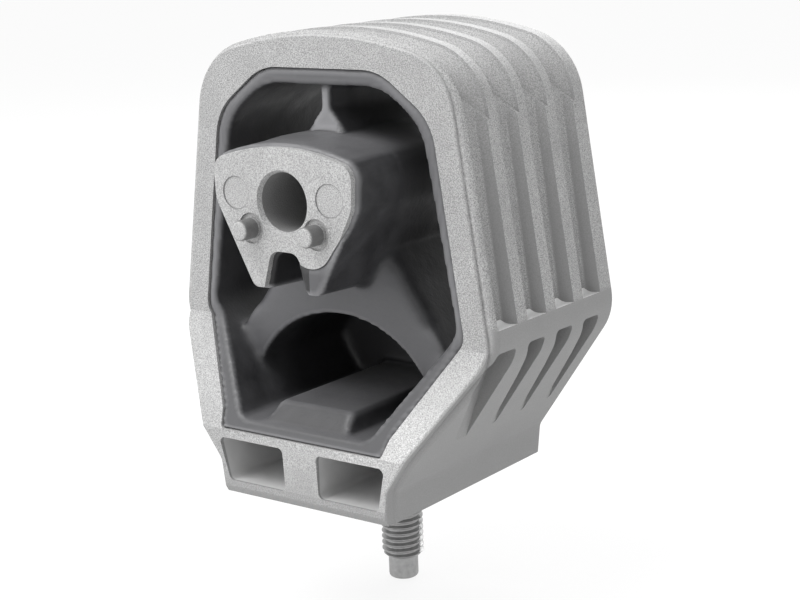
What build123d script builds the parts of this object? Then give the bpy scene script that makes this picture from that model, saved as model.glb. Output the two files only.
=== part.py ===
from build123d import *
import os
from math import atan2, cos, degrees, radians, sin, sqrt, tan

os.makedirs("parts", exist_ok=True)

# Frame: the stud's axis is Z, the foot's seat is Z = 0, the front faces -Y and X runs across.
# Housing, seen from the front
foot_half_width = 27.9
foot_draft = 6.0
foot_side_height = 8.5
waist_half_width = 53.6
waist_height = 44.8
waist_radius = 15.0
side_lean = 8.8
shoulder_radius = 20.0
crown_radius = 115.0
housing_height = 125.4
foot_blend_radius = 4.0

# Housing, seen from the side
front_y = -29.4
back_y = 31.0
slope_top = 46.0
slope_foot = 18.5
slope_reach = 15.1
toe_setback = 0.9
toe_bevel = 1.2
toe_bevel_height = 2.2
rim_radius = 2.0

# Raised front face, a little smaller all round than the body behind it
face_step = 1.0
face_step_slope = 3.3
face_depth = 8.0
face_foot_half = 27.6
face_foot_side = (28.3, 9.5)
face_waist = (51.2, 44.0)
face_waist_radius = 12.0
face_lean = 8.4
face_shoulder_radius = 17.0
face_crown_radius = 117.0
face_height = 124.2
face_edge_radius = 0.5

# Window in the housing, filled by the rubber
window_top = 115.6
window_top_half = 19.5
window_shoulder_half = 35.6
window_shoulder_height = 103.4
window_waist_half = 43.8
window_waist_height = 48.2
window_floor = 18.5
window_floor_half = 27.2
window_floor_rise = (28.6, 23.5)
window_corner_radius = 15.5
window_waist_radius = 5.0
window_floor_radius = 1.5

# Grooves round the sides and top, and the pockets under the waist
groove_count = 4
groove_pitch = 13.83
groove_start = -27.1
groove_end = 51.4
groove_top = 114.0
groove_width = 9.15
groove_floor_front = 2.5
groove_floor_back = 7.0
groove_depth = 3.7
groove_depth_top = 1.9
groove_front_radius = 1.0
groove_floor_radius = 1.1
groove_back_radius = 3.2
ledge_radius = 2.6
valley_width = 10.3
valley_floor_front = 1.6
valley_floor_back = 5.8
valley_depth = 4.3
valley_front_radius = 2.2
valley_back_radius = 4.0
crease_depth = 0.7
crease_width = 0.3
valley_end = 109.0
valley_end_tilt = 45.0
ramp_overlap = 0.5
tool_lip = 0.05
tool_clearance = 3.0
pocket_width = 8.3
pocket_top = 45.4
pocket_floor_top = (45.8, 45.4)
pocket_floor_tip = (35.2, 16.5)
pocket_narrowing = 3.2
pocket_front_swell = 3.5
pocket_radius = 1.2

# Foot pockets
foot_pocket_floor = 3.8
foot_pocket_roof = 16.0
foot_pocket_web = 5.7
foot_pocket_floor_half = 25.4
foot_pocket_roof_half = 28.3
foot_pocket_radius = 1.6
foot_pocket_draft = 1.0
foot_pocket_depth_front = 27.0
foot_pocket_depth_back = 14.0

# Rubber spring
rubber_setback = 0.3
opening_top = 111.3
opening_top_half = 19.5
opening_shoulder = (31.8, 102.2)
opening_waist = (41.0, 50.1)
opening_floor = (21.4, 21.5)
opening_corner_radius = 16.0
opening_waist_radius = 5.0
opening_floor_radius = 5.0
lip_radius = 2.2
leg_front = -25.0
leg_back = 25.0
leg_shoulder = (14.6, 71.0)
leg_waist = (30.6, 48.4)
leg_rim = 4.0
arch_top = 48.0
arch_end = (28.6, 33.0)
arch_end_radius = 4.0
arch_wall_front = 11.0
arch_wall_back = 16.0
web_half = 1.4
web_base_half = 6.3
web_base_height = 98.7
web_neck_height = 105.0
web_back = 20.0
skin_nose = 0.8
skin_shoulder = 1.4
skin = 1.7
skin_front = -28.0
skin_back = 22.0
stop_half = 14.0
stop_half_top = 12.4
stop_height = 5.1
stop_front = -41.0
stop_slope = 5.0
stop_round = 1.2

# Core
core_front = -46.1
core_back = 26.0
core_top = 97.2
core_corner = (22.9, 93.0)
core_corner_radius = 4.5
core_hip = (22.4, 82.5)
core_hip_radius = 8.0
core_tip = (10.6, 60.2)
core_tip_inner = 7.3
core_tip_radius = 2.6
core_tip_inner_radius = 0.6
notch_top = 70.2
notch_half = 4.4
notch_radius = 3.4
metal_showing = 1.5
film_edge = ((4.0, 68.3), (9.3, 66.6), (14.0, 69.0))
film_side = (19.6, 76.5)
bore_radius = 7.75
bore_height = 83.0
bore_chamfer = 0.65
bore_chamfer_depth = 1.25
pin_spacing = 21.7
pin_height = 75.6
pin_length = 5.0
pin_radius = 2.7
pin_tip_round = 0.8
pin_recess_radius = 4.1
pin_recess_depth = 0.8
ejector_spacing = 31.0
ejector_height = 84.6
ejector_radius = 4.35
ejector_depth = 0.25

# Foot stud
thread_radius = 6.0
thread_end = -26.8
dog_radius = 4.25
stud_end = -33.6
shank_radius = 6.6
shank_height = 14.0
lead_chamfer = 1.0

# Places worked out from the sizes above
foot_side_x = foot_half_width + foot_side_height * tan(radians(foot_draft))
lean = radians(side_lean)
lean_x, lean_z = cos(lean), sin(lean)
crown_centre_z = housing_height - crown_radius
side_distance = lean_x * waist_half_width + lean_z * waist_height
across = side_distance - shoulder_radius - lean_z * crown_centre_z
along = sqrt((crown_radius - shoulder_radius) ** 2 - across**2)
shoulder_x = across * lean_x - along * lean_z
shoulder_z = crown_centre_z + across * lean_z + along * lean_x
reach = crown_radius / (crown_radius - shoulder_radius)
crown_end = (shoulder_x * reach, crown_centre_z + (shoulder_z - crown_centre_z) * reach)
crown_turn = degrees(atan2(crown_end[1] - crown_centre_z, crown_end[0]))
depth = back_y - front_y + slope_reach
seat_front = front_y - slope_reach
span = 2 * waist_half_width + 10
above = housing_height + 10
slope_height = slope_top - slope_foot
lip_y = seat_front + rubber_setback + (opening_floor[1] - slope_foot) * slope_reach / slope_height


def side_x(z):
    """Half width of the leaning side at a height."""
    return waist_half_width - (z - waist_height) * tan(lean)


def mirrored(points):
    """A closed outline from its right half, listed from the bottom up."""
    return points + [(-x, z) for x, z in reversed(points)]


# Window in the housing: chamfered shoulders, flared to the waist, narrow at the floor
with BuildPart() as window:
    with BuildSketch(Plane.XZ.offset(-back_y)):
        with BuildLine():
            Polyline(
                mirrored(
                    [
                        (window_floor_half, window_floor),
                        window_floor_rise,
                        (window_waist_half, window_waist_height),
                        (window_shoulder_half, window_shoulder_height),
                        (window_top_half, window_top),
                    ]
                ),
                close=True,
            )
        make_face()
        rows = vertices().group_by(Axis.Y)
        fillet(rows[-1] + rows[-2], window_corner_radius)
        fillet(vertices().group_by(Axis.Y)[2], window_waist_radius)
        fillet(vertices().group_by(Axis.Y)[0], window_floor_radius)
    extrude(amount=depth)

# Tool for one valley: round the crown and the corner, ending in a ramp on the side
with BuildPart() as valley_tool:
    with BuildLine(Plane.XZ) as valley_path:
        top = ThreePointArc(
            (0, housing_height),
            (
                crown_radius * cos(radians((90 + crown_turn) / 2)),
                crown_centre_z + crown_radius * sin(radians((90 + crown_turn) / 2)),
            ),
            crown_end,
        )
        corner = JernArc(top @ 1, top % 1, shoulder_radius, side_lean - crown_turn)
        Line(corner @ 1, (side_x(groove_end), groove_end))
    with BuildSketch(Plane(origin=(0, groove_start, housing_height), x_dir=(0, 1, 0), z_dir=(1, 0, 0))):
        with BuildLine():
            Polyline(
                (0, tool_lip),
                (valley_floor_front, -valley_depth),
                (valley_floor_back, -valley_depth),
                (valley_width - crease_width, -crease_depth),
                (valley_width, tool_lip),
                (valley_width, tool_clearance),
                (0, tool_clearance),
                close=True,
            )
        make_face()
        floor_ends = vertices().filter_by(lambda v: v.Y < -crease_depth - 1).sort_by(Axis.X)
        fillet(floor_ends[0], valley_front_radius)
        fillet(floor_ends[-1], valley_back_radius)
    sweep(path=valley_path.line)
    ramp_x = shoulder_x + sqrt((shoulder_radius - valley_depth) ** 2 - (valley_end - shoulder_z) ** 2)
    ramp_drop = 1 / tan(radians(valley_end_tilt))
    with BuildSketch(Plane.XZ.offset(-groove_start - groove_pitch)):
        with BuildLine():
            Polyline(
                (ramp_x - ramp_overlap, valley_end + ramp_overlap * ramp_drop),
                (span, valley_end - (span - ramp_x) * ramp_drop),
                (span, 0),
                (ramp_x - ramp_overlap, 0),
                close=True,
            )
        make_face()
    extrude(amount=2 * groove_pitch, mode=Mode.SUBTRACT)

# Tool for one side groove: steep front wall, floor, rounded back wall and a ledge above the waist
with BuildPart() as groove_tool:
    for height, deep in ((pocket_top, groove_depth), (groove_top, groove_depth_top)):
        with BuildSketch(
            Plane(origin=(side_x(height), groove_start, height), x_dir=(0, 1, 0), z_dir=(-lean_z, 0, lean_x))
        ):
            with BuildLine():
                Polyline(
                    (-groove_back_radius, -tool_lip),
                    (0, -tool_lip),
                    (groove_floor_front, deep),
                    (groove_floor_back, deep),
                    (groove_width, -tool_lip),
                    (groove_width + groove_back_radius, -tool_lip),
                    (groove_width + groove_back_radius, -tool_clearance),
                    (-groove_back_radius, -tool_clearance),
                    close=True,
                )
            make_face()
            mouth = vertices().filter_by(lambda v: -0.1 < v.X < groove_width + 0.1).sort_by(Axis.X)
            fillet(vertices().group_by(Axis.Y)[-1], groove_floor_radius)
            fillet(mouth[0], groove_front_radius)
            fillet(mouth[-1], groove_back_radius)
    loft()
    ledge_x = (
        side_x(groove_end + ledge_radius * (1 - lean_z)) - groove_depth / lean_x + ledge_radius * lean_x
    )
    with BuildSketch(Plane.XZ.offset(-groove_start - groove_pitch)):
        with BuildLine():
            Line((span, groove_end), (ledge_x, groove_end))
            bend = JernArc((ledge_x, groove_end), (-1, 0), ledge_radius, side_lean - 90)
            Polyline(
                bend @ 1,
                (0, (bend @ 1).Y),
                (0, pocket_top - 1),
                (span, pocket_top - 1),
                (span, groove_end),
            )
        make_face()
    extrude(amount=2 * groove_pitch, mode=Mode.SUBTRACT)

# Pockets under the waist: the floors climb to a tip at the foot, the first one swells to the front
with BuildPart() as side_pockets:
    with BuildSketch(Plane.YZ):
        for i in range(groove_count):
            start = groove_start + i * groove_pitch
            bulge = -pocket_front_swell if i == 0 else pocket_narrowing
            with BuildLine():
                Polyline(
                    (start, pocket_top),
                    (start + pocket_width, pocket_top),
                    (start + pocket_width, pocket_floor_tip[1]),
                    (start + pocket_width / 2 + bulge / 2, pocket_floor_tip[1] + pocket_width / 2),
                    (start + bulge, (pocket_top + pocket_floor_tip[1]) / 2 + 4),
                    close=True,
                )
            make_face()
        fillet(vertices(), pocket_radius)
    extrude(amount=span / 2)
    with BuildSketch(Plane.XZ.offset(-back_y)):
        with BuildLine():
            Polyline(
                pocket_floor_top,
                (span, pocket_floor_top[1]),
                (span, pocket_floor_tip[1]),
                pocket_floor_tip,
                close=True,
            )
        make_face()
    extrude(amount=depth, mode=Mode.INTERSECT)
    mirror(about=Plane.YZ)

# Raised front face, following the slope of the foot
with BuildPart() as raised_face:
    with BuildSketch(Plane.XZ.offset(-back_y)):
        with BuildLine():
            Polyline(
                mirrored(
                    [
                        (face_foot_half, 0),
                        face_foot_side,
                        face_waist,
                        (face_waist[0] - (above - face_waist[1]) * tan(radians(face_lean)), above),
                    ]
                ),
                close=True,
            )
        make_face()
        with Locations((0, face_height - face_crown_radius)):
            Circle(face_crown_radius, mode=Mode.INTERSECT)
        fillet(vertices().group_by(Axis.Y)[-1], face_shoulder_radius)
        fillet(vertices().group_by(Axis.Y)[2], face_waist_radius)
        fillet(vertices().group_by(Axis.Y)[1], foot_blend_radius)
    extrude(amount=depth)
    with BuildSketch(Plane.YZ.offset(-span / 2)):
        with BuildLine():
            Polyline(
                (front_y, above),
                (front_y, slope_top),
                (seat_front, slope_foot),
                (seat_front + toe_setback, toe_bevel_height),
                (seat_front + toe_setback + toe_bevel, 0),
                (seat_front + face_depth, 0),
                (seat_front + face_depth, slope_foot),
                (front_y + face_depth, slope_top),
                (front_y + face_depth, above),
                close=True,
            )
        make_face()
    extrude(amount=span, mode=Mode.INTERSECT)
    face_edges = faces().filter_by(lambda f: f.normal_at().Y < -0.5).edges().filter_by(
        lambda e: e.center().Z > toe_bevel_height
        and (abs(e.center().X) > foot_half_width - 5 or e.center().Z > waist_height)
    )
    fillet(face_edges, face_edge_radius)

with BuildPart() as housing:
    with BuildSketch(Plane.XZ.offset(-back_y)):
        with BuildLine():
            Polyline(
                mirrored(
                    [
                        (foot_half_width, 0),
                        (foot_side_x, foot_side_height),
                        (waist_half_width, waist_height),
                        (side_x(above), above),
                    ]
                ),
                close=True,
            )
        make_face()
        with Locations((0, crown_centre_z)):
            Circle(crown_radius, mode=Mode.INTERSECT)
        fillet(vertices().group_by(Axis.Y)[-1], shoulder_radius)
        fillet(vertices().group_by(Axis.Y)[2], waist_radius)
        fillet(vertices().group_by(Axis.Y)[1], foot_blend_radius)
    extrude(amount=depth)
    with BuildSketch(Plane.YZ.offset(-span / 2)):
        with BuildLine():
            Polyline(
                (front_y + face_step, above),
                (
                    front_y + face_step,
                    slope_top - (face_step_slope - face_step) * slope_height / slope_reach,
                ),
                (seat_front + face_step_slope, slope_foot),
                (seat_front + face_step_slope, 0),
                (back_y, 0),
                (back_y, above),
                close=True,
            )
        make_face()
    extrude(amount=span, mode=Mode.INTERSECT)
    rims = faces().filter_by(lambda f: f.normal_at().Y < -0.5).edges().filter_by(
        lambda e: abs(e.center().X) > foot_half_width - 5 or e.center().Z > waist_height
    )
    fillet(rims, rim_radius)
    fillet(faces().sort_by(Axis.Y)[-1].edges().filter_by(lambda e: e.center().Z > 1), rim_radius)
    add(raised_face.part)
    add(window.part, mode=Mode.SUBTRACT)
    add(side_pockets.part, mode=Mode.SUBTRACT)
    for i in range(groove_count):
        for tool in (valley_tool, groove_tool):
            right = tool.part.moved(Location((0, i * groove_pitch, 0)))
            add([right, right.mirror(Plane.YZ)], mode=Mode.SUBTRACT)
    for start, way, length in (
        (seat_front, 1, foot_pocket_depth_front),
        (back_y, -1, foot_pocket_depth_back),
    ):
        with BuildSketch(Plane(origin=(0, start, 0), x_dir=(-way, 0, 0), z_dir=(0, way, 0))):
            for side in (-1, 1):
                with BuildLine():
                    Polyline(
                        (side * foot_pocket_web, foot_pocket_floor),
                        (side * foot_pocket_floor_half, foot_pocket_floor),
                        (side * foot_pocket_roof_half, foot_pocket_roof),
                        (side * foot_pocket_web, foot_pocket_roof),
                        close=True,
                    )
                make_face()
            fillet(vertices(), foot_pocket_radius)
        extrude(amount=length, taper=foot_pocket_draft, mode=Mode.SUBTRACT)
    with Locations((0, 0, shank_height / 2)):
        Cylinder(shank_radius, shank_height, mode=Mode.SUBTRACT)
housing.part.label = "housing"

# Core: crowned face, bore through it, two pins cast on and a notch between the legs
with BuildPart() as core_block:
    with BuildSketch(Plane.XZ.offset(-core_back)) as core_outline:
        with BuildLine():
            ThreePointArc((-core_corner[0], core_corner[1]), (0, core_top), core_corner)
            Polyline(
                core_corner,
                core_hip,
                core_tip,
                (core_tip_inner, core_tip[1]),
                (notch_half, notch_top),
                (-notch_half, notch_top),
                (-core_tip_inner, core_tip[1]),
                (-core_tip[0], core_tip[1]),
                (-core_hip[0], core_hip[1]),
                (-core_corner[0], core_corner[1]),
            )
        make_face()
        fillet(vertices().group_by(Axis.Y)[-1], core_corner_radius)
        fillet(vertices().group_by(Axis.Y)[-3], core_hip_radius)
        fillet(vertices().group_by(Axis.Y)[1], notch_radius)
        outer_tips = vertices().group_by(Axis.Y)[0].filter_by(lambda v: abs(v.X) > core_tip_inner + 1)
        fillet(outer_tips, core_tip_radius)
        inner_tips = vertices().group_by(Axis.Y)[0].filter_by(lambda v: abs(v.X) < core_tip_inner + 0.1)
        fillet(inner_tips, core_tip_inner_radius)
    extrude(amount=core_back - core_front)

# Skin of rubber over the end of one core leg, on the front
with BuildSketch(Plane.XZ.offset(-core_front - metal_showing)) as film_outline:
    with BuildLine():
        ThreePointArc(*film_edge)
        Polyline(
            film_edge[2],
            film_side,
            (film_side[0], core_tip[1] - 2 * skin_nose),
            (film_edge[0][0], core_tip[1] - 2 * skin_nose),
            film_edge[0],
        )
    make_face()

with BuildPart() as core:
    add(core_block.part)
    with BuildSketch(Plane.XZ.offset(-core_front)):
        with Locations((pin_spacing / 2, pin_height), (-pin_spacing / 2, pin_height)):
            Circle(pin_recess_radius)
    extrude(amount=-pin_recess_depth, mode=Mode.SUBTRACT)
    with BuildSketch(Plane.XZ.offset(-core_front)):
        with Locations((ejector_spacing / 2, ejector_height), (-ejector_spacing / 2, ejector_height)):
            Circle(ejector_radius)
    extrude(amount=-ejector_depth, mode=Mode.SUBTRACT)
    with BuildSketch(Plane.XZ.offset(-core_front - pin_recess_depth)):
        with Locations((pin_spacing / 2, pin_height), (-pin_spacing / 2, pin_height)):
            Circle(pin_radius)
    extrude(amount=pin_length + pin_recess_depth)
    fillet(edges().filter_by(GeomType.CIRCLE).group_by(Axis.Y)[0], pin_tip_round)
    with BuildSketch(Plane.XZ.offset(-core_back)):
        with Locations((0, bore_height)):
            Circle(bore_radius)
    extrude(amount=core_back - core_front, mode=Mode.SUBTRACT)
    for y, way in ((core_front, 1), (core_back, -1)):
        with Locations(Location((0, y + way * bore_chamfer_depth / 2, bore_height), (90, 0, 0))):
            Cone(
                bore_radius + (bore_chamfer if way == -1 else 0),
                bore_radius + (bore_chamfer if way == 1 else 0),
                bore_chamfer_depth,
                mode=Mode.SUBTRACT,
            )
    with BuildSketch(Plane.XZ.offset(-core_front - metal_showing)):
        add(film_outline.sketch_local)
    extrude(amount=metal_showing, mode=Mode.SUBTRACT)
core.part.label = "core"

# Rubber spring: one moulding, bonded all round the window and all round the core
with BuildPart() as opening:
    with BuildSketch(Plane.XZ.offset(-back_y)):
        with BuildLine():
            Polyline(
                mirrored([opening_floor, opening_waist, opening_shoulder, (opening_top_half, opening_top)]),
                close=True,
            )
        make_face()
        rows = vertices().group_by(Axis.Y)
        fillet(rows[-1] + rows[-2], opening_corner_radius)
        fillet(vertices().group_by(Axis.Y)[1], opening_waist_radius)
        fillet(vertices().group_by(Axis.Y)[0], opening_floor_radius)
    extrude(amount=depth)

# Legs from the core to the flanks, with an arch under them that is open to the front and the back
with BuildPart() as legs:
    with BuildSketch(Plane.XZ.offset(-leg_back)):
        with BuildLine():
            Polyline(
                mirrored(
                    [
                        (opening_floor[0], window_floor),
                        (window_waist_half, leg_waist[1] - 2),
                        leg_waist,
                        leg_shoulder,
                    ]
                ),
                close=True,
            )
        make_face()
    extrude(amount=leg_back - leg_front)
    ends = edges().filter_by(lambda e: e.bounding_box().size.Y < 0.01)
    fillet(ends.filter_by(lambda e: leg_waist[1] < e.center().Z < leg_shoulder[1]), leg_rim)
    for back, front in ((leg_back, arch_wall_back), (arch_wall_front, leg_front)):
        with BuildSketch(Plane.XZ.offset(-back)):
            with BuildLine():
                Polyline(
                    arch_end,
                    opening_floor,
                    (-opening_floor[0], opening_floor[1]),
                    (-arch_end[0], arch_end[1]),
                )
                ThreePointArc(arch_end, (0, arch_top), (-arch_end[0], arch_end[1]))
            make_face()
            fillet(vertices().group_by(Axis.Y)[-1], arch_end_radius)
        extrude(amount=back - front, mode=Mode.SUBTRACT)

# Tool that rounds the front lip of the floor
with BuildPart() as lip_tool:
    with BuildSketch(Plane.YZ.offset(-opening_floor[0] + opening_floor_radius / 2)):
        with BuildLine():
            Polyline(
                (lip_y - slope_reach / 4, opening_floor[1] - slope_height / 4),
                (lip_y, opening_floor[1]),
                (lip_y + lip_radius, opening_floor[1]),
                (lip_y + lip_radius, opening_floor[1] + lip_radius),
                (lip_y - slope_reach, opening_floor[1] + lip_radius),
                close=True,
            )
        make_face()
        fillet(vertices().sort_by_distance((lip_y, opening_floor[1]))[0], lip_radius)
    extrude(amount=2 * opening_floor[0] - opening_floor_radius)

# Floor stop: a block with sloped sides and a sloped front under the arch
with BuildPart() as floor_stop:
    with BuildSketch(Plane.XZ.offset(-back_y)):
        with BuildLine():
            Polyline(
                (-stop_half, opening_floor[1] - 1),
                (stop_half, opening_floor[1] - 1),
                (stop_half, opening_floor[1]),
                (stop_half_top, opening_floor[1] + stop_height),
                (-stop_half_top, opening_floor[1] + stop_height),
                (-stop_half, opening_floor[1]),
                close=True,
            )
        make_face()
    extrude(amount=depth)
    with BuildSketch(Plane.YZ.offset(-stop_half)):
        with BuildLine():
            Polyline(
                (stop_front, opening_floor[1] - 1),
                (stop_front, opening_floor[1]),
                (stop_front + stop_slope, opening_floor[1] + stop_height),
                (arch_wall_back, opening_floor[1] + stop_height),
                (arch_wall_back, opening_floor[1] - 1),
                close=True,
            )
        make_face()
    extrude(amount=2 * stop_half, mode=Mode.INTERSECT)
    fillet(edges().group_by(Axis.Z)[-1].filter_by(lambda e: e.center().Y < arch_wall_front), stop_round)

with BuildPart() as rubber_spring:
    add(window.part)
    add(opening.part, mode=Mode.SUBTRACT)
    add(legs.part)
    with BuildSketch(Plane.XZ.offset(-web_back)):
        with BuildLine():
            Polyline(
                mirrored(
                    [
                        (web_base_half, web_base_height - 3),
                        (web_base_half, web_base_height),
                        (web_half, web_neck_height),
                        (web_half, opening_top + 1),
                    ]
                ),
                close=True,
            )
        make_face()
    extrude(amount=web_back - leg_front)
    with BuildSketch(Plane.XZ.offset(-skin_back)):
        offset(core_outline.sketch_local, amount=skin)
    extrude(amount=skin_back - skin_front)
    add(floor_stop.part)
    add(window.part, mode=Mode.INTERSECT)
    with BuildSketch(Plane.YZ.offset(-span / 2)):
        with BuildLine():
            Polyline(
                (front_y + rubber_setback, housing_height),
                (front_y + rubber_setback, slope_top),
                (seat_front + rubber_setback, slope_foot),
                (seat_front + rubber_setback, 0),
                (back_y - rubber_setback, 0),
                (back_y - rubber_setback, housing_height),
                close=True,
            )
        make_face()
    extrude(amount=span, mode=Mode.INTERSECT)
    add(lip_tool.part, mode=Mode.SUBTRACT)
    with BuildSketch(Plane.XZ.offset(-skin_front)):
        offset(core_outline.sketch_local, amount=skin_shoulder)
    with BuildSketch(Plane.XZ.offset(-core_front - metal_showing)):
        offset(core_outline.sketch_local, amount=skin_nose)
    loft()
    with BuildSketch(Plane.XZ.offset(-core_front - metal_showing)):
        offset(core_outline.sketch_local, amount=skin_nose)
        add(film_outline.sketch_local, mode=Mode.INTERSECT)
    extrude(amount=metal_showing)
    add(core.part, mode=Mode.SUBTRACT)
    with Locations(Location((0, 0, bore_height), (90, 0, 0))):
        Cylinder(bore_radius + bore_chamfer, 2 * depth, mode=Mode.SUBTRACT)
rubber_spring.part.label = "rubber_spring"

# Foot stud: plain shank pressed into the foot, thread below it and a dog point
with BuildPart() as foot_stud:
    Cylinder(shank_radius, shank_height, align=(Align.CENTER, Align.CENTER, Align.MIN))
    with Locations((0, 0, thread_end)):
        Cylinder(thread_radius, -thread_end, align=(Align.CENTER, Align.CENTER, Align.MIN))
    chamfer(edges().group_by(Axis.Z)[0], lead_chamfer)
    with Locations((0, 0, stud_end)):
        Cylinder(dog_radius, thread_end - stud_end, align=(Align.CENTER, Align.CENTER, Align.MIN))
    fillet(edges().group_by(Axis.Z)[0], lead_chamfer)
foot_stud.part.label = "foot_stud"

for piece in (housing, core, rubber_spring, foot_stud):
    export_step(piece.part, f"parts/{piece.part.label}.step")
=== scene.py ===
import math
import bmesh
import bpy
from mathutils import Matrix, Vector


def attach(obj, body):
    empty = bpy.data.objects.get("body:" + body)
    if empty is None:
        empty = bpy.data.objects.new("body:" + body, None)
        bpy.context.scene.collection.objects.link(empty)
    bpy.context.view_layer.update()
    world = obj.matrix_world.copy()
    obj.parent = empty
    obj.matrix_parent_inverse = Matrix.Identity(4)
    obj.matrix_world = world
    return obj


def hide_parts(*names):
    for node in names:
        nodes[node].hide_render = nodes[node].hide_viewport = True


MM = 0.001

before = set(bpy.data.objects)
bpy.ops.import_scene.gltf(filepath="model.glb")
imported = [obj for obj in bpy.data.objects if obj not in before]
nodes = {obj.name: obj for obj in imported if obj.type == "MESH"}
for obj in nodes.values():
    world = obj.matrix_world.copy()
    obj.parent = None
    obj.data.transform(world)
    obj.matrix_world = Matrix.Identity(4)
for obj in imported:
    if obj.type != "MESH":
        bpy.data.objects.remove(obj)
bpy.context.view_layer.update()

# Places on the housing: the front slopes forward from the waist down to the foot
front_y = -29.4 * MM
slope_top = 46.0 * MM
slope_foot = 18.5 * MM
slope_reach = 15.1 * MM
slope_blend = 8.0 * MM
# Half width over which the painted light on the front slope grows towards the right
slope_light_half = 25.0 * MM
# Depths and heights of the painted light in the step behind the front's outer edge
step_light_depths = (0.03 * MM, 1.2 * MM)
step_light_heights = (20.0 * MM, 24.0 * MM)
groove_span = (-27.0 * MM, 28.0 * MM)
groove_depth = 7.0 * MM
crown_blend = (90.0 * MM, 112.0 * MM)
ledge_height = 51.4 * MM
ledge_heights = (50.0 * MM, 55.0 * MM)
ledge_half = 46.0 * MM
pocket_heights = (3.5 * MM, 16.3 * MM)
pocket_depths = (1.3 * MM, 75.2 * MM)
pocket_web_half = 5.65 * MM

# Heights and half widths of the foot's pockets at their lower and upper corners
pocket_foot = (3.8 * MM, 25.9 * MM)
pocket_head = (16.0 * MM, 28.8 * MM)

# Places on the core
bore_height = 83.0 * MM
bore_wall = 8.1 * MM
bore_lead = 1.5 * MM
pin_foot = -46.2 * MM
ejector_places = ((-15.5 * MM, 84.6 * MM), (15.5 * MM, 84.6 * MM))
ejector_radius = 4.35 * MM
ejector_ring = (-0.3 * MM, 0.2 * MM)

# Places on the rubber spring
arch_radius = 34.77 * MM
arch_centre_z = 13.23 * MM
arch_half = 28.6 * MM
# Heights of the notch under the core, which painted shade darkens
notch_heights = (60.0 * MM, 73.0 * MM)
web_heights = (96.5 * MM, 110.5 * MM)
centre_half = 8.0 * MM
# Depths over which painted shade darkens the rubber's inside
inner_depths = (-24.0 * MM, -12.0 * MM)

# Pattern sizes
blast_grain = 0.31 * MM
blast_depth = 0.05 * MM
stain_size = 14.0 * MM
flow_size = 9.0 * MM
flow_depth = 0.5 * MM
skin_grain = 0.7 * MM
skin_depth = 0.03 * MM
plating_size = 1.5 * MM

# Sockets of a Mix node that mixes colours
SHARE = 0
UNDER = 6
OVER = 7
MIXED = 2


# Small helpers for node materials

def linear(code):
    """A colour written as an sRGB hex code, as linear RGBA."""
    channels = [int(code[i:i + 2], 16) / 255 for i in (1, 3, 5)]
    return [c / 12.92 if c <= 0.04045 else ((c + 0.055) / 1.055) ** 2.4 for c in channels] + [1.0]


def feed(tree, node, inputs):
    """Sets a node's inputs: a node or a socket is linked, a value is written."""
    for name, value in inputs.items():
        if isinstance(value, bpy.types.Node):
            value = value.outputs[0]
        if isinstance(value, bpy.types.NodeSocket):
            tree.links.new(value, node.inputs[name])
        else:
            node.inputs[name].default_value = value


def add(tree, kind, inputs=None, **settings):
    """Adds one node with its options and its inputs."""
    node = tree.nodes.new(kind)
    for name, value in settings.items():
        setattr(node, name, value)
    feed(tree, node, inputs or {})
    return node


def surface(name, **values):
    """A new material with its node tree, its main shader and the Object coordinates."""
    material = bpy.data.materials.new(name)
    material.use_nodes = True
    tree = material.node_tree
    tree.nodes.clear()
    shader = add(tree, "ShaderNodeBsdfPrincipled", values)
    add(tree, "ShaderNodeOutputMaterial", {"Surface": shader})
    return material, tree, shader, add(tree, "ShaderNodeTexCoord").outputs["Object"]


def outward(tree):
    """The X, Y and Z of the way that a face looks."""
    normal = add(tree, "ShaderNodeTexCoord").outputs["Normal"]
    return add(tree, "ShaderNodeSeparateXYZ", {0: normal}).outputs


def overlap(tree, mask, *others):
    """1 only where every mask is 1."""
    for other in others:
        mask = add(tree, "ShaderNodeMath", {0: mask, 1: other}, operation="MULTIPLY")
    return mask


def within(tree, value, marks, soft):
    """1 where a value lies between two marks, with soft ends."""
    low, high = marks
    rise = add(tree, "ShaderNodeMapRange", {"Value": value, "From Min": low, "From Max": low + soft})
    fall = add(tree, "ShaderNodeMapRange", {"Value": value, "From Min": high, "From Max": high - soft})
    return overlap(tree, rise, fall)


def painted(tree, tone, layers):
    """Lays colours over a tone one after another, each as strongly as its mask says."""
    for share, colour in layers:
        layer = {SHARE: share, UNDER: tone, OVER: colour}
        tone = add(tree, "ShaderNodeMix", layer, data_type="RGBA").outputs[MIXED]
    return tone


def blasted_grain(tree, place):
    """A fine sandy grain, 0 to 1, drawn a little coarser than real blasting so that it shows."""
    grain = add(tree, "ShaderNodeTexNoise", {"Vector": place, "Scale": 1 / blast_grain, "Detail": 1.5})
    return add(tree, "ShaderNodeMapRange", {"Value": grain, "From Min": 0.32, "From Max": 0.68})


def stained(tree, place, tone, dark):
    """Faint cloudy stains over a casting's colour."""
    cloud = add(tree, "ShaderNodeTexNoise", {"Vector": place, "Scale": 1 / stain_size, "Detail": 3.0})
    share = add(
        tree, "ShaderNodeMapRange", {"Value": cloud, "From Min": 0.42, "From Max": 0.75, "To Max": 0.3}
    )
    return painted(tree, tone, [(share, linear(dark))])


# Materials

def depth_behind_front(tree, xyz):
    """How far a place on the housing lies behind the front, which slopes forward under the waist."""
    front = add(
        tree,
        "ShaderNodeMapRange",
        {
            "Value": xyz["Z"],
            "From Min": slope_foot,
            "From Max": slope_top,
            "To Min": front_y - slope_reach,
            "To Max": front_y,
        },
    )
    return add(tree, "ShaderNodeMath", {0: xyz["Y"], 1: front}, operation="SUBTRACT")


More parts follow.
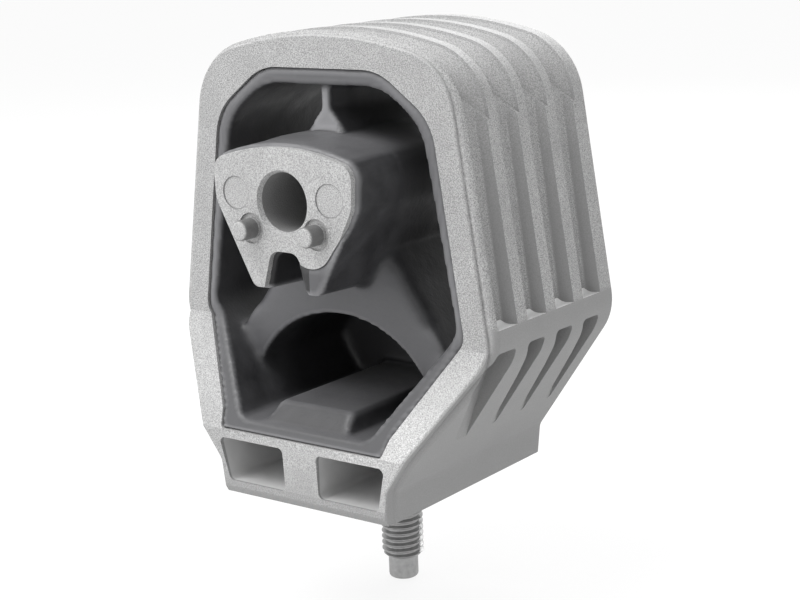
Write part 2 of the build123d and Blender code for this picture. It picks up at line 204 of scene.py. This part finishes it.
def smooth_shaded_groove_walls(tree, xyz, normal, ribbed):
    """The steep faces between the ribs, fainter over the crown: smoother there, and darkened by painted
    shade.
    """
    facing = add(tree, "ShaderNodeMath", {0: normal["Y"]}, operation="ABSOLUTE")
    steep = add(
        tree, "ShaderNodeMapRange", {"Value": facing, "From Min": 0.35, "From Max": 0.95, "To Max": 0.75}
    )
    low, high = crown_blend
    upper = add(
        tree,
        "ShaderNodeMapRange",
        {"Value": xyz["Z"], "From Min": low, "From Max": high, "To Min": 1.0, "To Max": 0.25},
    )
    return overlap(tree, steep, upper, ribbed)


def painted_groove_shade(tree, ribbed):
    """Painted shade in the depths between the ribs, darkest where they are most closed in."""
    open_air = add(tree, "ShaderNodeAmbientOcclusion", {"Distance": groove_depth}, samples=8).outputs["AO"]
    depth = add(
        tree, "ShaderNodeMapRange", {"Value": open_air, "From Min": 0.9, "From Max": 0.35, "To Max": 0.55}
    )
    return overlap(tree, depth, ribbed)


def painted_ledge_highlight(tree, xyz, normal, half):
    """A painted highlight on the faces that look upwards on the ledges at the feet of the grooves."""
    level = add(tree, "ShaderNodeMapRange", {"Value": normal["Z"], "From Min": 0.15, "From Max": 0.6})
    height = within(tree, xyz["Z"], ledge_heights, 0.5 * MM)
    outer = add(tree, "ShaderNodeMath", {0: half, 1: ledge_half}, operation="GREATER_THAN")
    return overlap(tree, level, height, outer, within(tree, xyz["Y"], groove_span, 1.0 * MM))


def foot_pockets(tree, xyz, half, behind):
    """The inside of the two pockets in the foot, which widen upwards."""
    room = add(
        tree,
        "ShaderNodeMapRange",
        {
            "Value": xyz["Z"],
            "From Min": pocket_foot[0],
            "From Max": pocket_head[0],
            "To Min": pocket_foot[1],
            "To Max": pocket_head[1],
        },
    )
    inside = add(tree, "ShaderNodeMath", {0: half, 1: room}, operation="LESS_THAN")
    beside = add(tree, "ShaderNodeMath", {0: half, 1: pocket_web_half}, operation="GREATER_THAN")
    height = within(tree, xyz["Z"], pocket_heights, 0.1 * MM)
    return overlap(tree, inside, beside, height, within(tree, behind, pocket_depths, 0.3 * MM))


def painted_slope_light(tree, xyz, behind):
    """Painted light on the front slope, which looks upwards to the lamps, growing towards the right."""
    skin = add(tree, "ShaderNodeMath", {0: behind, 1: 0.8 * MM}, operation="LESS_THAN")
    slope = add(
        tree,
        "ShaderNodeMapRange",
        {"Value": xyz["Z"], "From Min": slope_top, "From Max": slope_top - slope_blend},
    )
    lit_share = add(
        tree,
        "ShaderNodeMapRange",
        {"Value": xyz["X"], "From Min": -slope_light_half, "From Max": slope_light_half, "To Min": 0.06, "To Max": 0.28},
    )
    return overlap(tree, skin, slope, lit_share)


def painted_step_light(tree, xyz, behind):
    """The narrow step just behind the front's outer edge, painted lighter to lift the dark of its crease."""
    low, high = step_light_heights
    raised = add(
        tree, "ShaderNodeMapRange", {"Value": xyz["Z"], "From Min": low, "From Max": high, "To Max": 0.15}
    )
    return overlap(tree, within(tree, behind, step_light_depths, 0.2 * MM), raised)


def housing_aluminium():
    """Pressure die-cast aluminium, shot blasted: matt pale grey with a sandy sparkle on the front and the
    ribs, smoother on the groove walls, smooth as cast inside the foot's pockets. Painted shade darkens the
    groove walls and the depths between the ribs; painted light brightens the front slope, the ledges, the
    step behind the front's outer edge and the inside of the pockets."""
    material, tree, shader, place = surface("cast_aluminium_blasted")
    xyz = add(tree, "ShaderNodeSeparateXYZ", {0: place}).outputs
    normal = outward(tree)
    half = add(tree, "ShaderNodeMath", {0: xyz["X"]}, operation="ABSOLUTE")
    behind = depth_behind_front(tree, xyz)
    above = add(
        tree,
        "ShaderNodeMapRange",
        {"Value": xyz["Z"], "From Min": ledge_height - 1.0 * MM, "From Max": ledge_height + 1.0 * MM},
    )
    ribbed = overlap(tree, within(tree, xyz["Y"], groove_span, 1.0 * MM), above)
    smooth_shaded_wall = smooth_shaded_groove_walls(tree, xyz, normal, ribbed)
    pocket = foot_pockets(tree, xyz, half, behind)

    # Grain: strong on the front and the ribs, weak on the waist and the foot, faint on walls and in pockets
    fore = add(
        tree,
        "ShaderNodeMapRange",
        {"Value": behind, "From Min": 0.2 * MM, "From Max": 1.5 * MM, "To Min": 1.0, "To Max": 0.35},
    )
    coarse = add(tree, "ShaderNodeMath", {0: fore, 1: above}, operation="MAXIMUM")
    smooth = add(tree, "ShaderNodeMath", {0: smooth_shaded_wall, 1: pocket}, operation="MAXIMUM")
    rough = add(tree, "ShaderNodeMapRange", {"Value": smooth, "To Min": 1.0, "To Max": 0.15})
    swing = add(tree, "ShaderNodeMath", {0: blasted_grain(tree, place), 1: 0.5}, operation="SUBTRACT")
    speck = add(
        tree, "ShaderNodeMath", {0: swing, 1: overlap(tree, coarse, rough), 2: 0.5}, operation="MULTIPLY_ADD"
    )

    plain = add(
        tree, "ShaderNodeMapRange", {"Value": coarse, "From Min": 1.0, "From Max": 0.35, "To Max": 0.6}
    )
    pale = painted(tree, linear("#bebebe"), [(speck, linear("#fcfcfc"))])
    tone = painted(
        tree,
        linear("#808080"),
        [
            (speck, linear("#bfbfbf")),
            # Painted light on the front slope, growing towards the right
            (painted_slope_light(tree, xyz, behind), pale),
            # Painted shade on the steep groove walls, chosen by the way they face
            (smooth_shaded_wall, linear("#7c7c7c")),
            (plain, linear("#868686")),
            # Painted shade in the depths between the ribs
            (painted_groove_shade(tree, ribbed), linear("#5f5f5f")),
            # Painted highlight on the ledges at the feet of the grooves
            (painted_ledge_highlight(tree, xyz, normal, half), linear("#f4f4f4")),
            # Painted light in the narrow step behind the front's outer edge
            (painted_step_light(tree, xyz, behind), linear("#d6d6d6")),
            # Painted light inside the foot's pockets, which are also smooth as cast
            (pocket, linear("#bcbcbc")),
        ],
    )
    feed(
        tree,
        shader,
        {
            "Base Color": stained(tree, place, tone, "#8a8a8a"),
            "Metallic": add(tree, "ShaderNodeMapRange", {"Value": pocket, "To Min": 0.5, "To Max": 0.15}),
            "Roughness": add(tree, "ShaderNodeMapRange", {"Value": speck, "To Min": 0.62, "To Max": 0.75}),
            "Normal": add(tree, "ShaderNodeBump", {"Height": speck, "Distance": blast_depth}),
        },
    )
    return material


def core_aluminium():
    """Cast aluminium, shot blasted: the same sandy grain all over, with a thin ring round each ejector mark,
    darker sides on the locating pins and a smooth machined bore."""
    material, tree, shader, place = surface("cast_aluminium_core", Metallic=0.5)
    xyz = add(tree, "ShaderNodeSeparateXYZ", {0: place}).outputs
    grain = blasted_grain(tree, place)
    layers = [(grain, linear("#c2c2c2"))]

    # Distances across the face, seen along the bore
    flat = add(tree, "ShaderNodeVectorMath", {0: place, 1: (1, 0, 1)}, operation="MULTIPLY")
    marks = [ejector_radius + offset for offset in ejector_ring]
    for x, z in ejector_places:
        away = add(tree, "ShaderNodeVectorMath", {0: flat, 1: (x, 0, z)}, operation="DISTANCE")
        ring = overlap(tree, within(tree, away.outputs["Value"], marks, 0.15 * MM), 0.4)
        layers.append((ring, linear("#5c5c5c")))

    # Sides of the locating pins, which stand out from the face
    raised = add(tree, "ShaderNodeMath", {0: xyz["Y"], 1: pin_foot}, operation="LESS_THAN")
    side = add(
        tree,
        "ShaderNodeMapRange",
        {"Value": outward(tree)["Y"], "From Min": -0.9, "From Max": -0.5, "To Max": 0.85},
    )
    layers.append((overlap(tree, side, raised), linear("#5e5e5e")))

    # The bore's wall, behind its lead-in
    away = add(tree, "ShaderNodeVectorMath", {0: flat, 1: (0, 0, bore_height)}, operation="DISTANCE")
    deep = add(tree, "ShaderNodeMath", {0: xyz["Y"], 1: pin_foot + bore_lead}, operation="GREATER_THAN")
    hole = overlap(tree, within(tree, away.outputs["Value"], (0, bore_wall), 0.1 * MM), deep)
    layers.append((hole, linear("#919191")))

    tone = painted(tree, linear("#8a8a8a"), layers)
    feed(
        tree,
        shader,
        {
            "Base Color": stained(tree, place, tone, "#8e8e8e"),
            "Roughness": add(tree, "ShaderNodeMapRange", {"Value": grain, "To Min": 0.6, "To Max": 0.75}),
            "Normal": add(tree, "ShaderNodeBump", {"Height": grain, "Distance": blast_depth}),
        },
    )
    return material


def moulded_rubber():
    """Natural rubber moulded in a steel tool: dark grey and satin, with flow marks, a painted highlight on
    the edges, a light dusty bloom on the faces that look to the front and upwards with painted light on them
    too, and painted shade in the notch under the core and on the inside."""
    material, tree, shader, place = surface("moulded_rubber")
    xyz = add(tree, "ShaderNodeSeparateXYZ", {0: place}).outputs
    normal = outward(tree)
    cloud = add(
        tree,
        "ShaderNodeTexNoise",
        {"Vector": place, "Scale": 1 / flow_size, "Detail": 4.0, "Roughness": 0.6},
    )
    fine = add(tree, "ShaderNodeTexNoise", {"Vector": place, "Scale": 1 / skin_grain, "Detail": 2.0})
    mottled = add(tree, "ShaderNodeMapRange", {"Value": cloud, "From Min": 0.35, "From Max": 0.7})

    # Painted shade darkens the notch under the core and the inside behind the front; the web above the notch
    # is lighter on its front
    half = add(tree, "ShaderNodeMath", {0: xyz["X"]}, operation="ABSOLUTE")
    centre = add(tree, "ShaderNodeMath", {0: half, 1: centre_half}, operation="LESS_THAN")
    painted_notch_shade = overlap(tree, within(tree, xyz["Z"], notch_heights, 1.0 * MM), centre)
    web = overlap(tree, within(tree, xyz["Z"], web_heights, 1.5 * MM), centre)
    # Faces that look to the front: a dusty bloom, and a painted sheen from the lamps in front
    front_bloom_and_sheen = add(
        tree,
        "ShaderNodeMapRange",
        {"Value": normal["Y"], "From Min": -0.75, "From Max": -0.98, "To Max": 0.5},
    )
    # Faces that look upwards: dust, and a painted highlight from the lamp above
    dust_and_top_highlight = add(
        tree, "ShaderNodeMapRange", {"Value": normal["Z"], "From Min": 0.75, "From Max": 0.98, "To Max": 0.6}
    )
    # Painted highlight on the convex edges
    sharp = add(tree, "ShaderNodeNewGeometry").outputs["Pointiness"]
    painted_edge_highlight = add(
        tree, "ShaderNodeMapRange", {"Value": sharp, "From Min": 0.51, "From Max": 0.57, "To Max": 0.65}
    )
    # Painted shade on the inside, growing behind the front
    low, high = inner_depths
    painted_inner_shade = add(
        tree, "ShaderNodeMapRange", {"Value": xyz["Y"], "From Min": low, "From Max": high, "To Max": 0.8}
    )

    tone = painted(
        tree,
        linear("#2d2d2f"),
        [
            (mottled, linear("#3d3d3f")),
            (front_bloom_and_sheen, painted(tree, linear("#5c5c5f"), [(web, linear("#a4a4a7"))])),
            (painted_edge_highlight, linear("#8c8c8e")),
            (painted_inner_shade, linear("#202022")),
            (dust_and_top_highlight, linear("#6a6a6c")),
            (painted_notch_shade, linear("#1c1c1e")),
        ],
    )
    gloss = add(
        tree,
        "ShaderNodeMapRange",
        {"Value": cloud, "From Min": 0.3, "From Max": 0.7, "To Min": 0.42, "To Max": 0.58},
    )
    flow = add(tree, "ShaderNodeBump", {"Height": cloud, "Distance": flow_depth, "Strength": 0.5})
    skin = add(tree, "ShaderNodeBump", {"Height": fine, "Distance": skin_depth, "Normal": flow})
    feed(tree, shader, {"Base Color": tone, "Roughness": gloss, "Normal": skin})
    return material


def plated_steel():
    """Steel with a grey zinc plating, as on a rolled thread: a soft metallic gloss."""
    material, tree, shader, place = surface("zinc_plated_steel", Metallic=1.0)
    cloud = add(tree, "ShaderNodeTexNoise", {"Vector": place, "Scale": 1 / plating_size, "Detail": 3.0})
    tone = painted(tree, linear("#8a8a8a"), [(cloud, linear("#b4b4b4"))])
    gloss = add(tree, "ShaderNodeMapRange", {"Value": cloud, "To Min": 0.32, "To Max": 0.54})
    feed(tree, shader, {"Base Color": tone, "Roughness": gloss})
    return material


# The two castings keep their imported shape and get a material

def dress(name, material):
    """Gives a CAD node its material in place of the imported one."""
    piece = nodes[name]
    piece.data.materials.clear()
    piece.data.materials.append(material)


rubber = moulded_rubber()
steel = plated_steel()
dress("housing", housing_aluminium())
dress("core", core_aluminium())


# Modelling steps that both new pieces use
merge_distance = 0.001 * MM


def drawn_line(start, moves):
    """A line drawn corner by corner, left in edit mode for what is made from it."""
    bpy.ops.object.select_all(action="DESELECT")
    bpy.ops.mesh.primitive_plane_add(size=MM)
    line = bpy.context.object
    bpy.ops.object.mode_set(mode="EDIT")
    bpy.ops.mesh.merge(type="CENTER")
    bpy.ops.transform.translate(value=start)
    for move in moves:
        bpy.ops.mesh.extrude_region_move(TRANSFORM_OT_translate={"value": move})
    return line


def combine(piece, other, operation):
    """Cuts a piece to another, or joins the two into one closed solid."""
    cutter = piece.modifiers.new("combine", "BOOLEAN")
    cutter.operation = operation
    cutter.solver = "EXACT"
    cutter.object = other
    bpy.context.view_layer.objects.active = piece
    bpy.ops.object.modifier_apply(modifier=cutter.name)
    bpy.data.objects.remove(other)


# Foot stud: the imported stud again, with its rolled M12 thread
thread_pitch = 1.75 * MM
thread_depth = 0.541 * thread_pitch
thread_crest = thread_pitch / 8
thread_root = thread_pitch / 4
thread_flank = (thread_pitch - thread_crest - thread_root) / 2
thread_steps = 72
thread_radius = 6.0 * MM
thread_end = -26.8 * MM
thread_top = 1.0 * MM
spare_turns = 3
joint_overlap = 1.0 * MM
crest_excess = 0.02 * MM
dog_radius = 4.25 * MM
dog_end = -33.6 * MM
dog_rounds = 4
shank_radius = 6.6 * MM
shank_top = 14.0 * MM
lead_chamfer = 1.0 * MM


def select_verts(piece, chosen):
    """In edit mode, selects the corners that a test picks and nothing else."""
    bpy.ops.mesh.select_all(action="DESELECT")
    piece.update_from_editmode()
    mesh = bmesh.from_edit_mesh(piece.data)
    for vert in mesh.verts:
        vert.select = chosen(vert.co)
    mesh.select_flush(True)
    bmesh.update_edit_mesh(piece.data)


def turned_rod(radius, bottom, top, bevel=0, rounds=1):
    """A rod on the stud's axis, its lower edge bevelled where a bevel is given."""
    bpy.ops.object.select_all(action="DESELECT")
    bpy.ops.mesh.primitive_cylinder_add(
        vertices=thread_steps, radius=radius, depth=top - bottom, location=(0, 0, (top + bottom) / 2)
    )
    rod = bpy.context.object
    bpy.ops.object.transform_apply(location=True)
    if bevel:
        bpy.ops.object.mode_set(mode="EDIT")
        select_verts(rod, lambda co: co.z < bottom + 0.01 * MM)
        bpy.ops.mesh.bevel(offset=bevel, segments=rounds, affect="EDGES")
        bpy.ops.object.mode_set(mode="OBJECT")
    return rod


def rolled_thread():
    """The thread's section, drawn edge by edge for one pitch and screwed up the stud."""
    thread = drawn_line(
        (thread_radius - thread_depth, 0, thread_end - thread_pitch),
        (
            (0, 0, thread_root / 2),
            (thread_depth + crest_excess, 0, thread_flank),
            (0, 0, thread_crest),
            (-thread_depth - crest_excess, 0, thread_flank),
            (0, 0, thread_root / 2),
        ),
    )
    bpy.ops.object.mode_set(mode="OBJECT")
    screw = thread.modifiers.new("screw", "SCREW")
    screw.axis = "Z"
    screw.screw_offset = thread_pitch
    screw.iterations = math.ceil(-thread_end / thread_pitch) + spare_turns
    screw.steps = screw.render_steps = thread_steps
    screw.use_merge_vertices = True
    screw.merge_threshold = merge_distance
    bpy.ops.object.modifier_apply(modifier=screw.name)
    bpy.ops.object.mode_set(mode="EDIT")
    bpy.ops.mesh.select_all(action="SELECT")
    bpy.ops.mesh.remove_doubles(threshold=merge_distance)
    for height, up in ((thread_end, 1), (thread_top, -1)):
        bpy.ops.mesh.select_all(action="SELECT")
        bpy.ops.mesh.bisect(plane_co=(0, 0, height), plane_no=(0, 0, up), use_fill=True, clear_inner=True)
    bpy.ops.mesh.select_all(action="SELECT")
    bpy.ops.mesh.normals_make_consistent(inside=False)
    bpy.ops.object.mode_set(mode="OBJECT")
    return thread


stud = rolled_thread()
stud.name = "foot_stud_threaded"
combine(stud, turned_rod(thread_radius, thread_end, thread_top + joint_overlap, lead_chamfer), "INTERSECT")
combine(stud, turned_rod(dog_radius, dog_end, thread_end + joint_overlap, lead_chamfer, dog_rounds), "UNION")
combine(stud, turned_rod(shank_radius, 0, shank_top), "UNION")
bpy.ops.object.select_all(action="DESELECT")
stud.select_set(True)
bpy.ops.object.shade_smooth_by_angle(angle=math.radians(30))
stud.data.materials.clear()
stud.data.materials.append(steel)
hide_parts("foot_stud")
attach(stud, "root")

# Rubber spring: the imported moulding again, with the soft inner corners of moulded rubber. The part of the
# core that it covers is filled in, so that the rubber keeps its skin round the core.
leg_ledge = ((30.55 * MM, 48.6 * MM), (35.3 * MM, 41.75 * MM), (39.95 * MM, 48.6 * MM))
leg_ledge_half = 27.0 * MM
core_cover = (-44.5 * MM, 21.9 * MM)
bore_room = 9.5 * MM
bore_steps = 48
bore_drill = 200.0 * MM
rubber_grain = 0.95 * MM

# The arch is lifted most at its middle. The lift dies out in the rubber above, and nothing under it moves.
arch_lift = 1.4 * MM
arch_foot = 15.0 * MM
arch_under = (-1.5 * MM, -0.7 * MM)
arch_fade = 6.0 * MM

# The web's front comes forward
web_advance = 1.8 * MM
web_half = 9.0 * MM
web_depths = (-33.0 * MM, -18.0 * MM)
web_blend = 4.0 * MM
web_rise = (98.0 * MM, 99.5 * MM)
web_fall = (110.0 * MM, 111.6 * MM)

# How freely the rubber softens: less at its front, back and floor, the core's nose, the web and the arch
front_blend = (1.5 * MM, 5.0 * MM)
front_share = 0.12
back_blend = (24.0 * MM, 29.0 * MM)
nose_foot = 55.0 * MM
nose_half = 30.0 * MM
nose_blend = (-31.0 * MM, -27.0 * MM)
floor_blend = (27.0 * MM, 30.0 * MM)
floor_share = 0.15
web_foot = 95.0 * MM
web_share = 0.02
arch_edge = 3.0 * MM
arch_share = 0.1
edge_depth = -18.0 * MM
soft_factor = 0.6
soft_turns = 24


def ramp(value, low, high):
    """0 below the low mark, 1 above the high mark and smooth between them."""
    share = min(max((value - low) / (high - low), 0.0), 1.0)
    return share * share * (3 - 2 * share)


def merged_copy(node, name):
    """A copy of a CAD node with its loose triangles joined into a closed surface."""
    bpy.ops.object.select_all(action="DESELECT")
    piece = nodes[node].copy()
    piece.data = nodes[node].data.copy()
    piece.name = name
    bpy.context.collection.objects.link(piece)
    piece.select_set(True)
    bpy.context.view_layer.objects.active = piece
    bpy.ops.object.mode_set(mode="EDIT")
    bpy.ops.mesh.select_all(action="SELECT")
    bpy.ops.mesh.remove_doubles(threshold=merge_distance)
    bpy.ops.object.mode_set(mode="OBJECT")
    return piece


def prism(outline, half):
    """A solid with an outline in XZ, running along Y."""
    corners = [Vector((x, -half, z)) for x, z in outline]
    tool = drawn_line(corners[0], [after - before for before, after in zip(corners, corners[1:])])
    bpy.ops.mesh.select_all(action="SELECT")
    bpy.ops.mesh.edge_face_add()
    bpy.ops.mesh.extrude_region_move(TRANSFORM_OT_translate={"value": (0, 2 * half, 0)})
    bpy.ops.mesh.select_all(action="SELECT")
    bpy.ops.mesh.normals_make_consistent(inside=False)
    bpy.ops.object.mode_set(mode="OBJECT")
    return tool


def filled_core():
    """The part of the core that the rubber covers, with room round the bore."""
    core = merged_copy("core", "core_filling")
    bpy.ops.object.mode_set(mode="EDIT")
    for y, way in zip(core_cover, (1, -1)):
        bpy.ops.mesh.select_all(action="SELECT")
        bpy.ops.mesh.bisect(plane_co=(0, y, 0), plane_no=(0, way, 0), use_fill=True, clear_inner=True)
    bpy.ops.object.mode_set(mode="OBJECT")
    bpy.ops.object.select_all(action="DESELECT")
    bpy.ops.mesh.primitive_cylinder_add(
        vertices=bore_steps,
        radius=bore_room,
        depth=bore_drill,
        location=(0, 0, bore_height),
        rotation=(math.radians(90), 0, 0),
    )
    combine(core, bpy.context.object, "DIFFERENCE")
    return core


def joined_spring():
    """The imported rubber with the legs' ledges cut and the core filled in, as one closed skin."""
    piece = merged_copy("rubber_spring", "rubber_spring_moulded")
    for side in (-1, 1):
        combine(piece, prism([(side * x, z) for x, z in leg_ledge], leg_ledge_half), "DIFFERENCE")
    filling = filled_core()
    bpy.ops.object.select_all(action="DESELECT")
    filling.select_set(True)
    piece.select_set(True)
    bpy.context.view_layer.objects.active = piece
    bpy.ops.object.join()
    remesh = piece.modifiers.new("remesh", "REMESH")
    remesh.mode = "VOXEL"
    remesh.voxel_size = rubber_grain
    bpy.ops.object.modifier_apply(modifier=remesh.name)
    return piece


def arch_raise(x, z):
    """How far a place near the arch is lifted, away from the arch's centre."""
    out = math.hypot(x, z - arch_centre_z)
    lift = arch_lift * (1 - (x / arch_half) ** 4) * (1 - ramp(out, arch_radius, arch_radius + arch_fade))
    lift *= ramp(out, arch_radius + arch_under[0], arch_radius + arch_under[1])
    return Vector((lift * x / out, 0, lift * (z - arch_centre_z) / out))


def web_forward(y, z):
    """How far a place on the web comes forward."""
    tall = ramp(z, *web_rise) * (1 - ramp(z, *web_fall))
    return Vector((0, -web_advance * tall * ramp(-y, -web_depths[1], web_blend - web_depths[1]), 0))


def softness(x, y, z):
    """How freely a place on the rubber may be rounded, 0 to 1."""
    share = min(max((slope_top - z) / (slope_top - slope_foot), 0.0), 1.0)
    behind = y - front_y + slope_reach * share
    free = (front_share + (1 - front_share) * ramp(behind, *front_blend)) * (1 - ramp(y, *back_blend))
    if z > nose_foot and abs(x) < nose_half:
        free *= ramp(y, *nose_blend)
    free *= floor_share + (1 - floor_share) * ramp(z, *floor_blend)
    on_web = abs(x) < web_half and z > web_foot
    on_arch = abs(math.hypot(x, z - arch_centre_z) - arch_radius) < arch_edge
    if y < edge_depth and on_web:
        free *= web_share
    elif y < edge_depth and on_arch:
        free *= arch_share
    return free


spring = joined_spring()
for vert in spring.data.vertices:
    x, y, z = vert.co
    if abs(x) < arch_half and z > arch_centre_z + arch_foot:
        vert.co += arch_raise(x, z)
    if abs(x) < web_half and web_depths[0] < y < web_depths[1]:
        vert.co += web_forward(y, z)
soft_parts = spring.vertex_groups.new(name="soft_parts")
for vert in spring.data.vertices:
    soft_parts.add([vert.index], softness(*vert.co), "REPLACE")
smooth = spring.modifiers.new("smooth", "SMOOTH")
smooth.vertex_group = soft_parts.name
smooth.factor = soft_factor
smooth.iterations = soft_turns
bpy.context.view_layer.objects.active = spring
bpy.ops.object.modifier_apply(modifier=smooth.name)
spring.vertex_groups.clear()
bpy.ops.object.select_all(action="DESELECT")
spring.select_set(True)
bpy.ops.object.shade_smooth()
spring.data.materials.clear()
spring.data.materials.append(rubber)
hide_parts("rubber_spring")
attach(spring, "root")

# Floor, light and camera
floor_z = -34.0 * MM
floor_size = 6
floor_glow = 0.87
studio_strength = 0.75
backdrop_strength = 1.0


def seen_rays(tree):
    """1 for what the camera, a reflection or a clear surface sees, 0 for light that falls on the object."""
    rays = add(tree, "ShaderNodeLightPath").outputs
    seen = rays["Is Camera Ray"]
    for other in ("Is Glossy Ray", "Is Transmission Ray"):
        seen = add(tree, "ShaderNodeMath", {0: seen, 1: rays[other]}, operation="MAXIMUM").outputs[0]
    return seen


bpy.ops.mesh.primitive_plane_add(size=floor_size, location=(0, 0, floor_z))
floor = bpy.context.object
floor.name = "floor"
floor_paint, tree, shader, _ = surface("white_floor", Roughness=0.9)
feed(tree, shader, {"Base Color": linear("#f4f4f4")})
white = add(tree, "ShaderNodeEmission", {"Color": linear("#ffffff"), "Strength": 1.0})
share = add(tree, "ShaderNodeMath", {0: seen_rays(tree), 1: floor_glow}, operation="MULTIPLY")
mixed = add(tree, "ShaderNodeMixShader", {0: share, 1: shader, 2: white})
feed(tree, tree.nodes["Material Output"], {"Surface": mixed})
floor.data.materials.append(floor_paint)

world = bpy.data.worlds.new("studio")
bpy.context.scene.world = world
world.use_nodes = True
tree = world.node_tree
tree.nodes.clear()
studio = add(tree, "ShaderNodeBackground", {"Color": linear("#ffffff"), "Strength": studio_strength})
backdrop = add(tree, "ShaderNodeBackground", {"Color": linear("#ffffff"), "Strength": backdrop_strength})
mixed = add(tree, "ShaderNodeMixShader", {0: seen_rays(tree), 1: studio, 2: backdrop})
add(tree, "ShaderNodeOutputWorld", {"Surface": mixed})


def softbox(name, place, aim, size, watts):
    """A square area lamp aimed at a point."""
    lamp = bpy.data.lights.new(name, "AREA")
    lamp.size = size
    lamp.energy = watts
    lamp_object = bpy.data.objects.new(name, lamp)
    lamp_object.location = place
    lamp_object.rotation_euler = (Vector(aim) - Vector(place)).to_track_quat("-Z", "Y").to_euler()
    bpy.context.collection.objects.link(lamp_object)


# Lamps, with places and sizes in metres
lamp_aim = (0, 0, 60.0 * MM)
softbox("key", (-0.75, -0.95, 0.4), lamp_aim, 0.9, 5)
softbox("top", (-0.3, -0.45, 1.1), lamp_aim, 0.7, 12)
softbox("back", (-0.2, 0.85, 0.7), lamp_aim, 0.6, 7)

# Camera at the photograph's angle, with lengths in pixels of an 800 by 600 picture
picture_width = 800
focal_px = 1722.61
shift_px = (1.0, -7.0)
azimuth, elevation, roll = (math.radians(a) for a in (36.93, 12.69, -2.01))
target = Vector((1.73, 0, 50.39)) * MM
distance = 480.85 * MM
back = Vector(
    (math.sin(azimuth) * math.cos(elevation), -math.cos(azimuth) * math.cos(elevation), math.sin(elevation))
)
level = Vector((math.cos(azimuth), math.sin(azimuth), 0))
upright = back.cross(level)
right = math.cos(roll) * level + math.sin(roll) * upright
up = -math.sin(roll) * level + math.cos(roll) * upright
lens = bpy.data.cameras.new("camera")
lens.sensor_width = 36
lens.lens = focal_px * lens.sensor_width / picture_width
lens.shift_x = shift_px[0] / picture_width
lens.shift_y = shift_px[1] / picture_width
lens.clip_start = 0.01
camera = bpy.data.objects.new("camera", lens)
turned = Matrix((right, up, back)).transposed().to_4x4()
camera.matrix_world = Matrix.Translation(target + back * distance) @ turned
bpy.context.collection.objects.link(camera)
bpy.context.scene.camera = camera
bpy.context.scene.view_settings.view_transform = "Standard"
